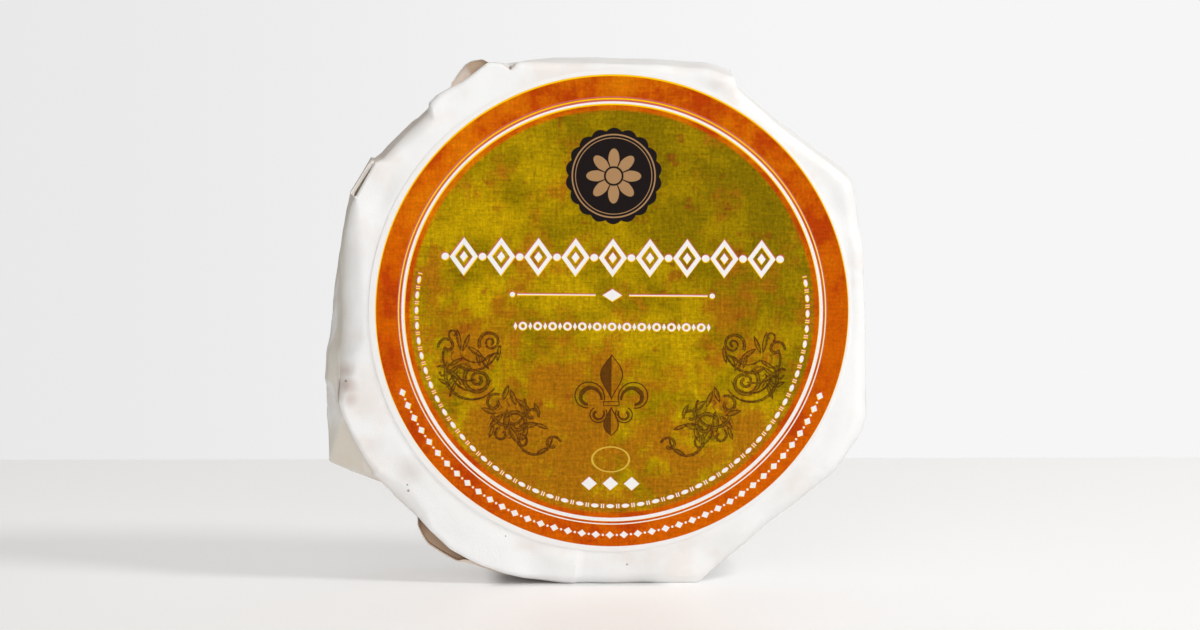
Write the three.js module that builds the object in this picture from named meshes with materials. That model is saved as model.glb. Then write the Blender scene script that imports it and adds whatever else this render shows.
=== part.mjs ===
// A wheel of soft cheese shut in its folded white paper, standing on its edge, with a round paper label on the front.
// Millimetres, +Z up. The label faces -Y. The origin is on the standing surface, under the middle of the label.
import * as THREE from "three";
import { mergeVertices } from "three/addons/utils/BufferGeometryUtils.js";

// Driving dimensions
const AXIS_HEIGHT = 59.1; // middle of the label above the standing surface
const THICKNESS = 27; // front face to back face of the wrapped wheel
const LABEL_RADIUS = 52;
const LABEL_THICKNESS = 0.25;
const WAIST = 0.6; // share of the thickness at which the wrap is widest
const BACK_TUCK = 1.6; // how far the wall draws in again from there to the back
const BACK_EDGE = 3; // rounding of the back rim
const PLEAT_STEP = 0.9; // height of a pleat's free edge on the back
const PLEAT_SWIRL = 24; // degrees that a pleat turns on its way from the back rim to the middle
const GATHER = 0.7; // extra height of the layers that meet in the middle of the back
const SECTORS = 180; // columns of the mesh round the wheel, so each fold's bearing is an even number

// The folds of the wrap. bearing is in degrees clockwise from the top, seen from the front. front is the reach of
// the wall from the axis just behind the face, flare is how much further it reaches at the waist, and edge is the
// rounding of the front rim. The paper runs straight from one fold to the next. A pleat on the back starts at
// each fold that says so.
const FOLDS = [
  { bearing: 10, front: 54.1, flare: 0.6, edge: 2.4 },
  { bearing: 22, front: 56.4, flare: 0.6, edge: 2.4 },
  { bearing: 28, front: 57.3, flare: 0.5, edge: 2.0, pleat: true },
  { bearing: 30, front: 55.3, flare: 0.4, edge: 2.4 },
  { bearing: 42, front: 54.2, flare: 0.5, edge: 2.6 },
  { bearing: 56, front: 57.2, flare: 0.5, edge: 2.6 },
  { bearing: 62, front: 59.2, flare: 0.7, edge: 3.0, pleat: true },
  { bearing: 76, front: 56.4, flare: 0.6, edge: 2.6 },
  { bearing: 90, front: 55.0, flare: 0.5, edge: 2.4 },
  { bearing: 112, front: 60.0, flare: 0.7, edge: 3.2, pleat: true },
  { bearing: 116, front: 60.5, flare: 0.7, edge: 3.2 },
  { bearing: 126, front: 59.8, flare: 0.7, edge: 3.4 },
  { bearing: 144, front: 57.6, flare: 0.5, edge: 3.0 },
  { bearing: 162, front: 62.4, flare: 0.4, edge: 2.6, pleat: true },
  { bearing: 188, front: 60.0, flare: 0.3, edge: 2.4 },
  { bearing: 200, front: 59.7, flare: 0.8, edge: 2.6 },
  { bearing: 208, front: 62.2, flare: 0.8, edge: 3.0, pleat: true },
  { bearing: 218, front: 63.1, flare: 2.8, edge: 4.5 },
  { bearing: 222, front: 61.8, flare: 2.2, edge: 4.5 },
  { bearing: 224, front: 61.2, flare: 0.6, edge: 5.0 },
  { bearing: 236, front: 61.8, flare: 1.2, edge: 4.0 },
  { bearing: 242, front: 61.6, flare: 10.4, edge: 2.5, pleat: true },
  { bearing: 246, front: 60.6, flare: 8.0, edge: 2.5 },
  { bearing: 252, front: 59.6, flare: 5.8, edge: 3.0 },
  { bearing: 270, front: 57.7, flare: 3.3, edge: 3.4 },
  { bearing: 292, front: 59.6, flare: 2.5, edge: 2.4 },
  { bearing: 300, front: 59.1, flare: 2.4, edge: 1.6, pleat: true },
  { bearing: 304, front: 58.3, flare: 1.8, edge: 1.6 },
  { bearing: 318, front: 57.1, flare: 2.6, edge: 1.6 },
  { bearing: 324, front: 58.1, flare: 1.8, edge: 1.6 },
  { bearing: 332, front: 58.7, flare: 3.6, edge: 1.6, pleat: true },
  { bearing: 342, front: 56.3, flare: 0.8, edge: 2.2 },
];

const FACE_Y = -THICKNESS / 2;
const radians = THREE.MathUtils.degToRad;
const mix = THREE.MathUtils.lerp;

// The two entries of a list that a bearing lies between, with the angles from the first to it and to the second.
function between(list, bearing) {
  const after = list.findIndex((entry) => entry.bearing > bearing);
  const second = list[after < 0 ? 0 : after];
  const first = list.at(after < 0 ? -1 : after - 1);
  const wrapTurn = (angle) => (angle + 360) % 360;
  return {
    first,
    second,
    passed: wrapTurn(bearing - first.bearing),
    span: wrapTurn(second.bearing - first.bearing),
  };
}

// Reach of the straight line from one point to the next, both given by their reach, at an angle on the way.
function chord(reachA, reachB, passed, span) {
  const a = reachA * Math.sin(radians(passed));
  const b = reachB * Math.sin(radians(span - passed));
  return (reachA * reachB * Math.sin(radians(span))) / (a + b);
}

// Reach of the wall at a bearing and a depth behind the face: from the front outline to the waist, then drawn in.
function wallReach(bearing, depth) {
  const { first, second, passed, span } = between(FOLDS, bearing);
  const front = chord(first.front, second.front, passed, span);
  const waist = chord(first.front + first.flare, second.front + second.flare, passed, span);
  const share = depth / THICKNESS;
  if (share < WAIST) return mix(front, waist, share / WAIST);
  return waist - BACK_TUCK * ((share - WAIST) / (1 - WAIST)) ** 2;
}

// Rounding of the front rim at a bearing, never so wide that it reaches in under the label.
function rimRounding(bearing) {
  const { first, second, passed, span } = between(FOLDS, bearing);
  const wanted = mix(first.edge, second.edge, passed / span);
  return Math.min(wanted, wallReach(bearing, wanted) - LABEL_RADIUS - 0.3);
}

// Height of the pleats on the back: each layer climbs from the last pleat's edge and drops at its own.
const PLEATS = FOLDS.filter((fold) => fold.pleat);
function pleatHeight(bearing, inward) {
  const { passed, span } = between(PLEATS, bearing);
  const fromRim = THREE.MathUtils.smoothstep(inward, 0, 0.15);
  const toMiddle = 1 - THREE.MathUtils.smoothstep(inward, 0.75, 1);
  return PLEAT_STEP * (passed / span) * fromRim * toMiddle + GATHER * inward ** 2;
}

// The stretches of the profile from the middle of the face round to the middle of the back.
const steps = (stretch, count) =>
  Array.from({ length: count }, (_, index) => ({ stretch, share: (index + 1) / count }));
const ROWS = [
  { stretch: "face", share: 0 },
  ...steps("face", 2),
  ...steps("shoulder", 2),
  ...steps("rim", 4),
  ...steps("wall", 6),
  ...steps("backRim", 3),
  ...steps("back", 7),
];

// Where one row of the profile runs at one bearing: radius from the axis, depth behind the face, and bearing.
function wrapPoint(bearing, { stretch, share }) {
  const rounding = rimRounding(bearing);
  const rimReach = wallReach(bearing, rounding);
  const backReach = wallReach(bearing, THICKNESS - BACK_EDGE);
  const turn = radians(90 * share);
  switch (stretch) {
    case "face":
      return { radius: LABEL_RADIUS * share, depth: 0, bearing };
    case "shoulder":
      return { radius: mix(LABEL_RADIUS, rimReach - rounding, share), depth: 0, bearing };
    case "rim":
      return {
        radius: rimReach - rounding * (1 - Math.sin(turn)),
        depth: rounding * (1 - Math.cos(turn)),
        bearing,
      };
    case "wall": {
      const depth = mix(rounding, THICKNESS - BACK_EDGE, share);
      return { radius: wallReach(bearing, depth), depth, bearing };
    }
    case "backRim":
      return {
        radius: backReach - BACK_EDGE * (1 - Math.cos(turn)),
        depth: THICKNESS - BACK_EDGE * (1 - Math.sin(turn)),
        bearing,
      };
    default:
      return {
        radius: (backReach - BACK_EDGE) * (1 - share),
        depth: THICKNESS + pleatHeight(bearing, share),
        bearing: bearing + PLEAT_SWIRL * share,
      };
  }
}

// The wrapped wheel: a lathe of the profile whose every point then moves to its place in the folded wrap.
// The weight of the wheel presses its lowest part flat.
function wrappedWheelGeometry() {
  const profile = ROWS.map((row) => {
    const { radius, depth } = wrapPoint(0, row);
    return new THREE.Vector2(radius, FACE_Y + depth);
  });
  const geometry = new THREE.LatheGeometry(profile, SECTORS);
  const position = geometry.getAttribute("position");
  for (let sector = 0; sector <= SECTORS; sector += 1) {
    const sectorBearing = (360 / SECTORS) * (sector % SECTORS);
    ROWS.forEach((row, index) => {
      const { radius, depth, bearing } = wrapPoint(sectorBearing, row);
      const x = radius * Math.sin(radians(bearing));
      const z = AXIS_HEIGHT + radius * Math.cos(radians(bearing));
      position.setXYZ(sector * ROWS.length + index, x, FACE_Y + depth, Math.max(z, 0));
    });
  }
  geometry.deleteAttribute("normal");
  geometry.deleteAttribute("uv");
  const closed = mergeVertices(geometry);
  closed.computeVertexNormals();
  return closed;
}

// The label: a thin disc of paper lying on the flat of the face.
function labelGeometry() {
  const profile = [
    new THREE.Vector2(0, FACE_Y - LABEL_THICKNESS),
    new THREE.Vector2(LABEL_RADIUS, FACE_Y - LABEL_THICKNESS),
    new THREE.Vector2(LABEL_RADIUS, FACE_Y),
    new THREE.Vector2(0, FACE_Y),
  ];
  return new THREE.LatheGeometry(profile, SECTORS);
}

const paper = new THREE.MeshStandardMaterial({ color: 0xeceae6, roughness: 0.6, metalness: 0 });
const printedPaper = new THREE.MeshStandardMaterial({ color: 0xa0780f, roughness: 0.5, metalness: 0 });

const wrappedWheel = new THREE.Mesh(wrappedWheelGeometry(), paper);
wrappedWheel.name = "wrapped_wheel";

const label = new THREE.Mesh(labelGeometry(), printedPaper);
label.name = "label";
label.position.z = AXIS_HEIGHT;

const cheese = new THREE.Group();
cheese.add(wrappedWheel, label);

export default cheese;
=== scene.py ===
import bpy
import numpy as np
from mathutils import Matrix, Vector


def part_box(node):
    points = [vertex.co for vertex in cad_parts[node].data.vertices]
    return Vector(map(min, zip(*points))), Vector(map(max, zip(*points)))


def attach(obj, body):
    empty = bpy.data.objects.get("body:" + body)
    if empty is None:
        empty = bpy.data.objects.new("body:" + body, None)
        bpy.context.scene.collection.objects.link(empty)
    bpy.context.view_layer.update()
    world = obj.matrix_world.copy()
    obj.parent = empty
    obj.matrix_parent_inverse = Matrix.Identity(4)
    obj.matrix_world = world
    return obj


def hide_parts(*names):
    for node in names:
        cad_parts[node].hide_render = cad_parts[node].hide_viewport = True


# a brie wheel shut in folded white paper, standing on its edge, with a round printed label on its front
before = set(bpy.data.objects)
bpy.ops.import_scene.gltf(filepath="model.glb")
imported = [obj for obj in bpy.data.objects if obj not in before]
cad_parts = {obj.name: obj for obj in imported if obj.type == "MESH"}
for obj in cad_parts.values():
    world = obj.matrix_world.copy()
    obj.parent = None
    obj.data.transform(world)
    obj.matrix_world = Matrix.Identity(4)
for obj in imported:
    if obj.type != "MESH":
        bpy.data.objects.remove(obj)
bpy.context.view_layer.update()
mm = 0.001
wheelLow = np.array(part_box("wrapped_wheel")[0]) / mm
labelLow, labelHigh = [np.array(corner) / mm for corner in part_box("label")]
labelRadius = (labelHigh[0] - labelLow[0]) / 2
axisX = (labelHigh[0] + labelLow[0]) / 2      # the wheel's axis runs along Y through the middle of the label
axisZ = (labelHigh[2] + labelLow[2]) / 2
faceY = wheelLow[1]                           # flat of the wrap's front
print("frame loaded:", ", ".join(sorted(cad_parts)))


def smooth(low, high, value):
    # smooth step from 0 at low to 1 at high
    t = np.clip((value - low) / (high - low), 0, 1)
    return t * t * (3 - 2 * t)


def window(bounds, value):
    # rises from 0 to 1 between the first two bounds and falls again between the last two
    start, full, last, end = bounds
    return smooth(start, full, value) * smooth(end, last, value)


def mix(a, b, share):
    return a + (b - a) * share


def quarterTurn(share):
    # sine and cosine of a share of a right angle
    return np.sin(np.pi / 2 * share), np.cos(np.pi / 2 * share)


def steps(count):
    # even shares from just after 0 up to 1
    return np.linspace(0, 1, count + 1)[1:]


def gridObject(name, points, sharpAngle, masks=None):
    # closed surface from a grid of rows by columns that wraps round in its columns and has a pole at each
    # end. Each mask is a value for every grid point, kept as an attribute for the material.
    rows, columns = points.shape[:2]
    poles = points[[0, -1]].mean(axis=1)
    verts = np.vstack([points[1:-1].reshape(-1, 3), poles])
    index = np.arange((rows - 2) * columns).reshape(rows - 2, columns)
    turned = np.roll(index, -1, axis=1)
    quads = np.stack([index[:-1], turned[:-1], turned[1:], index[1:]], axis=-1).reshape(-1, 4)
    front, back = len(verts) - 2, len(verts) - 1
    first = np.stack([np.full(columns, front), turned[0], index[0]], axis=-1)
    last = np.stack([np.full(columns, back), index[-1], turned[-1]], axis=-1)
    mesh = bpy.data.meshes.new(name)
    mesh.from_pydata((verts * mm).tolist(), [], quads.tolist() + first.tolist() + last.tolist())
    mesh.polygons.foreach_set("use_smooth", np.ones(len(mesh.polygons), bool))
    mesh.set_sharp_from_angle(angle=np.radians(sharpAngle))
    for label, values in (masks or {}).items():
        ends = values[[0, -1]].mean(axis=1)
        mask = mesh.attributes.new(label, "FLOAT", "POINT")
        mask.data.foreach_set("value", np.concatenate([values[1:-1].ravel(), ends]).astype(np.float32))
    piece = bpy.data.objects.new(name, mesh)
    bpy.context.scene.collection.objects.link(piece)
    return piece


# the paper wrap, in mm: bearings are degrees clockwise from the top as seen from the front
wrapSettings = {
    "fine": (196, 346, 0.3),   # stretch of bearings with the loose folds, and degrees between columns there
    "plainStep": 0.9,          # degrees between columns elsewhere
    "underLabel": (0.0, 0.5, 0.9),      # rings under the label, as shares of its radius
    "rows": {"margin": 22, "rim": 10, "pocket": 14, "wall": 34, "backRim": 8, "back": 28},
    "sharpAngle": 38,
    "thickness": 27.0,
    "waist": 0.6,              # share of the thickness where the wrap is widest
    "backTuck": 1.6,           # how far the wall draws in from there to the back
    "backEdge": 3.0,
    "pleatStep": 0.9,          # height of a pleat's free edge
    "pleatSwirl": 24,          # degrees a pleat turns from the back rim to the middle
    "gather": 0.7,             # extra layers in the middle of the back
    # small flat facets and soft waves: height, how many, shortest and longest
    "crumple": {"height": 0.14, "count": 7, "lengths": (9, 22), "seed": 3},
    "wrinkle": {"height": 0.22, "count": 9, "lengths": (7, 20), "seed": 5},
    # sharp edges at random places: how far each reaches, how soon it dies away on one side, where they lie
    "foldLines": {"height": 0.34, "count": 46, "spread": (10.0, 24.0), "fade": 4.0, "seed": 8,
                  "backReach": (12, 56), "wallReach": (54, 62), "wallDepth": (0, 26)},
    # edge of the front sheet: bearing, reach, rounding
    "rim": [
        (10, 54.1, 2.4), (22, 56.4, 2.4), (28, 57.3, 2.0), (30, 55.3, 2.4), (42, 54.2, 2.6), (56, 57.2, 2.6),
        (62, 59.2, 3.0), (76, 56.4, 2.6), (90, 55.0, 2.4), (112, 60.0, 3.2), (116, 60.5, 3.2),
        (126, 59.8, 3.4), (144, 57.6, 3.0), (162, 62.4, 2.6), (188, 60.0, 2.4), (198, 60.9, 1.2),
        (202.3, 61.35, 1.0),
        (206.5, 61.75, 1.0), (209.4, 61.9, 1.0), (214, 62.2, 1.0), (219.4, 61.5, 1.2), (223.2, 61.1, 3.0),
        (228.7, 61.4, 4.0), (234.8, 62.0, 2.4), (239.2, 61.9, 1.2), (245.9, 61.9, 1.0), (248.6, 62.1, 1.2),
        (251.5, 62.0, 1.6), (253.5, 60.5, 2.4), (255.6, 59.0, 3.0), (262, 57.6, 4.2), (270, 57.4, 4.8),
        (280, 58.7, 4.8), (286, 59.5, 3.8), (292, 60.1, 2.4), (294.3, 60.15, 0.8), (302.4, 60.0, 0.8),
        (304, 58.9, 1.8), (311, 58.0, 3.0), (317.6, 57.8, 2.6), (319.2, 59.3, 1.4), (321.9, 59.6, 1.4),
        (324.5, 59.3, 1.0), (327.9, 58.9, 0.8), (333.8, 59.9, 0.8), (336.7, 58.3, 1.2), (337.6, 56.3, 0.8),
        (339.6, 57.2, 1.2), (342.5, 56.4, 2.0),
    ],
    # outermost reach of the wall behind it: bearing, reach
    "wall": [
        (10, 54.7), (22, 57.0), (28, 57.8), (30, 55.7), (42, 54.7), (56, 57.7), (62, 59.9), (76, 57.0),
        (90, 55.5), (112, 60.7), (116, 61.2), (126, 60.5), (144, 58.1), (162, 62.8), (188, 60.3), (198, 61.1),
        (202.3, 61.7), (208.8, 62.7), (211.5, 63.8), (214.9, 64.0), (218, 64.2), (219.7, 63.6),
        (221.3, 62.9), (223.2, 61.8), (230.6, 62.2), (234.3, 62.7), (242, 62.6), (256.2, 63.2),
        (261.1, 61.7), (265.2, 60.7), (280.3, 60.0), (286.1, 60.3), (293.8, 61.6), (302.1, 60.9),
        (304, 60.1), (318, 59.7), (321.9, 59.9), (324.5, 59.6), (327.8, 61.1), (329.7, 61.8), (331, 61.8),
        (332, 61.5), (334.5, 60.5), (336.9, 59.1), (342.5, 57.1),
    ],
    "pleats": [28, 62, 112, 162, 208.8, 242, 302.1, 331],    # bearings where a pleat ends
    # open pockets behind the front sheet, the curl low down, the slit and the one at the top left: bearings
    # with the gap there, depth, paper of the flap's edge, degrees over which the flap rises at each end and
    # painted beige shade on its edge
    "pockets": [
        {"gap": [(199, 0), (209, 0), (210.5, 0.7), (212.5, 3), (222.3, 3), (223.3, 0)],
         "deep": 4.0, "paper": 0.25, "rises": 1.6, "lipPaintedShade": 0.6},
        {"gap": [(294.2, 0), (294.9, 0.55), (298, 0.4), (302.6, 0)],
         "deep": 2.5, "paper": 0.3, "rises": 0.5, "lipPaintedShade": 0.3},
        {"gap": [(324.4, 0), (326.4, 3), (332.6, 3), (334.2, 0)],
         "deep": 2.6, "paper": 0.12, "rises": 1.0, "lipPaintedShade": 0.2},
    ],
    "pocketOpens": 0.4,        # degrees over which a pocket opens at each end
    # way round a pocket, as shares of its rows: in along the front sheet, over the bottom, out along the flap
    "pocketPath": {"inward": 0.45, "bottom": (0.42, 0.58), "outwardFrom": 0.55, "outward": 0.4,
                   "narrows": 0.3},
    "labelClear": 0.5,         # flat paper left between the label and the rounding of the rim
    # depth of the lip behind the rounding of the rim: plain, in the soft turn, at a pocket
    "lip": {"plain": 1.2, "soft": 5.0, "pocket": 0.9},
    # how far the wall falls away behind the front edge, by bearing, and the depth that it takes
    "falls": [(306, 0), (314, 0.8), (319, 1.4), (326, 1.6), (337, 1.5), (341, 1.0), (349, 0)],
    "fallDepth": 14,
    # loose ear of paper: bearing, reach and depth of its two feet on the front rim, of its tip and of where
    # it runs out, the depth over which it closes behind, the bearings and the reach within which it is looked
    # for, its painted beige shade and the degrees over which that fades at its edge
    "ear": {"upper": (248.6, 62.0, 2.0), "lower": (234.8, 62.1, 2.0), "tip": (241.4, 69.6, 8.5),
            "wall": (261.1, 61.8, 8.5), "under": (232.5, 62.4, 8.5), "closes": 14.0, "paintedShade": 0.55,
            "between": (229, 232, 259, 264), "longest": 90, "fades": 0.6},
    # outer layer at the left: bearing and depth of its free edge, its height above the wall, the depth over
    # which it rises, half the depth of its step, the bearings between which it lies and its painted shade
    "leftLayer": {"edge": [(241.4, 8.5), (248.6, 2.0), (251.2, 2.6), (256.3, 4.5), (261.6, 7.0), (265.7, 9.5),
                           (280.0, 14.0)],
                  "height": 0.4, "rise": 2.8, "halfStep": 0.3, "between": (246.0, 250.0, 270.0, 279.0),
                  "paintedShade": 0.02},
    # creases on the shoulder: bearing, height of the upper layer there, degrees it takes to die away
    "creases": [(187.4, 0.7, 9.0), (26.5, 0.5, -7.0), (128.0, 0.25, 5.0)],
    "creaseRise": (-1, 4),     # from the label's edge, where a crease begins and where it has its height
    "creaseFall": 1.5,         # power of its way down
    # how far crumple and waves are held back: width round the label, share in the pocket rows where they are
    # shut and open, radius in the middle of the back; and the share that goes sideways on the front
    "calm": {"label": 3.5, "pocketRows": (0.6, 0.2), "middle": 12, "sideways": 0.3},
    # painted beige shade by bearing: along the wall and inside the pockets
    "wallPaintedShade": [(0, 0.1), (90, 0.1), (170, 0.15), (196, 0.3), (240, 0.4), (290, 0.35), (317, 0.35),
                   (319.5, 0.05), (336.2, 0.05), (339.6, 0.1)],
    "pocketPaintedShade": [(322, 1.0), (323, 0.55), (329.4, 0.6), (329.9, 1.0)],
    # nick in the rim at the top: bearings, how much painted shade is in it and the depths over which that
    # fades
    "nick": {"between": (336.2, 336.8, 338.8, 339.6), "paintedShade": 0.8, "fades": (2.0, 8.0)},
    # where the sheet turns softly from front to wall: bearings, rows of the profile, how many are averaged
    "softTurn": {"between": (254, 258, 284, 290), "rows": (20, 26, 60, 70), "spread": 3.0},
}


def column(table, index):
    return np.array([row[index] for row in table], float)


def tableAt(table, bearing, index=1, period=None):
    # a table's column read at each bearing, straight between its rows
    return np.interp(bearing, column(table, 0), column(table, index), period=period)


def neighbours(bearings, bearing):
    # entries before and after each bearing in a sorted ring of bearings, the angle passed and the whole angle
    after = np.searchsorted(bearings, bearing, side="right")
    first, second = (after - 1) % len(bearings), after % len(bearings)
    return first, second, (bearing - bearings[first]) % 360, (bearings[second] - bearings[first]) % 360


def chord(reachA, reachB, passed, span):
    # polar form of the straight line between two points: a*b*sin(span) / (a*sin(passed) + b*sin(rest))
    passed, span = np.radians(passed), np.radians(span)
    return reachA * reachB * np.sin(span) / (reachA * np.sin(passed) + reachB * np.sin(span - passed))


def bell(spread, reach):
    # whole steps from -reach to reach with the weights of a bell, which sum to 1
    offsets = np.arange(-reach, reach + 1)
    weights = np.exp(-0.5 * (offsets / spread) ** 2)
    return list(zip(offsets.tolist(), weights / weights.sum()))


def softRows(values, spread):
    # running mean along the profile, with a bell of the given spread in rows
    reach = int(3 * spread)
    padded = np.pad(values, ((reach, reach), (0, 0)), mode="edge")
    return sum(weight * padded[reach + o:reach + o + len(values)] for o, weight in bell(spread, reach))


def ringReach(table, bearing):
    # straight lines between the table's points, softened by a bell of 0.3 degrees, read at each bearing
    ring = np.arange(0, 360, 0.1)
    first, second, passed, span = neighbours(column(table, 0), ring)
    reach = column(table, 1)
    straight = chord(reach[first], reach[second], passed, span)
    soft = sum(weight * np.roll(straight, o) for o, weight in bell(3.0, 12))
    return np.interp(bearing, ring, soft, period=360)


def planeReach(corners, bearing, depth):
    # where a ray from the axis at each bearing and depth meets the plane through three points, each given by
    # bearing, reach and depth
    points = [np.array([r * np.sin(np.radians(b)), r * np.cos(np.radians(b)), d]) for b, r, d in corners]
    normal = np.cross(points[1] - points[0], points[2] - points[0])
    along = normal[0] * np.sin(np.radians(bearing)) + normal[1] * np.cos(np.radians(bearing))
    along = np.where(np.abs(along) < 1e-6, 1e-6, along)
    reach = (normal @ points[0] - normal[2] * depth) / along
    return np.where(reach > 0, reach, 1e3)


def randomDirection(rng):
    direction = rng.normal(size=3)
    return direction / np.linalg.norm(direction)


def waveField(x, y, z, settings, profile):
    # sum of waves in random directions, the longer the higher: profile gives a wave's height from its phase
    rng = np.random.default_rng(settings["seed"])
    shortest, longest = settings["lengths"]
    total = 0.0
    for _ in range(settings["count"]):
        direction = randomDirection(rng)
        length = rng.uniform(shortest, longest)
        phase = (x * direction[0] + y * direction[1] + z * direction[2]) / length + rng.uniform()
        total = total + profile(phase) * length / longest
    return settings["height"] * total / 3


def crumpleField(x, y, z, settings):
    # triangle waves over a gently warped place: straight creases, flat between them
    warpedX = x + 2.2 * np.sin(0.11 * z + 0.07 * y + 1.0)
    warpedZ = z + 2.2 * np.sin(0.13 * x - 0.09 * y + 2.0)
    return waveField(warpedX, y, warpedZ, settings, lambda phase: np.abs(phase % 1 - 0.5) * 4 - 1)


def wrinkleField(x, y, z, settings):
    # sine waves
    return waveField(x, y, z, settings, lambda phase: np.sin(2 * np.pi * phase))


def foldLineField(x, y, z, settings, thick):
    # each line is where a random plane cuts the paper near a random point: a sharp edge that dies away on one
    # side
    rng = np.random.default_rng(settings["seed"])
    total = 0.0
    for _ in range(settings["count"]):
        angle = rng.uniform(0, 2 * np.pi)
        onBack = rng.uniform() < 0.5
        reach = rng.uniform(*settings["backReach" if onBack else "wallReach"])
        depth = thick if onBack else rng.uniform(*settings["wallDepth"])
        dx, dy, dz = x - reach * np.sin(angle), y - depth, z - reach * np.cos(angle)
        direction = randomDirection(rng)
        spread = rng.uniform(*settings["spread"])
        away = dx * direction[0] + dy * direction[1] + dz * direction[2]
        near = np.sqrt(dx ** 2 + dy ** 2 + dz ** 2)
        edge = np.where(away > 0, np.exp(-away / settings["fade"]), 0)
        total = total + rng.uniform(0.4, 1.0) * edge * smooth(spread, 0.3 * spread, near)
    return settings["height"] * total


def pocketTables(s, bearing):
    # at each bearing: how far a pocket is open and its flap raised, gap, depth, paper and painted shade of
    # its lip
    opened, raised, gap, deep, paper, lipShade = np.zeros((6, len(bearing)))
    for pocket in s["pockets"]:
        at, wide = np.array(pocket["gap"], float).T
        start, end = at[0], at[-1]
        here = window((start, start + s["pocketOpens"], end - s["pocketOpens"], end), bearing)
        flap = window((start, start + pocket["rises"], end - pocket["rises"], end), bearing)
        opened = np.maximum(opened, here)
        raised = np.maximum(raised, flap)
        gap = np.maximum(gap, np.interp(bearing, at, wide) * here)
        deep = np.maximum(deep, pocket["deep"] * here)
        paper = np.where(here > 0, pocket["paper"], paper)
        lipShade = np.maximum(lipShade, pocket["lipPaintedShade"] * flap)
    return opened, raised, gap, deep, paper, lipShade


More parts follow.
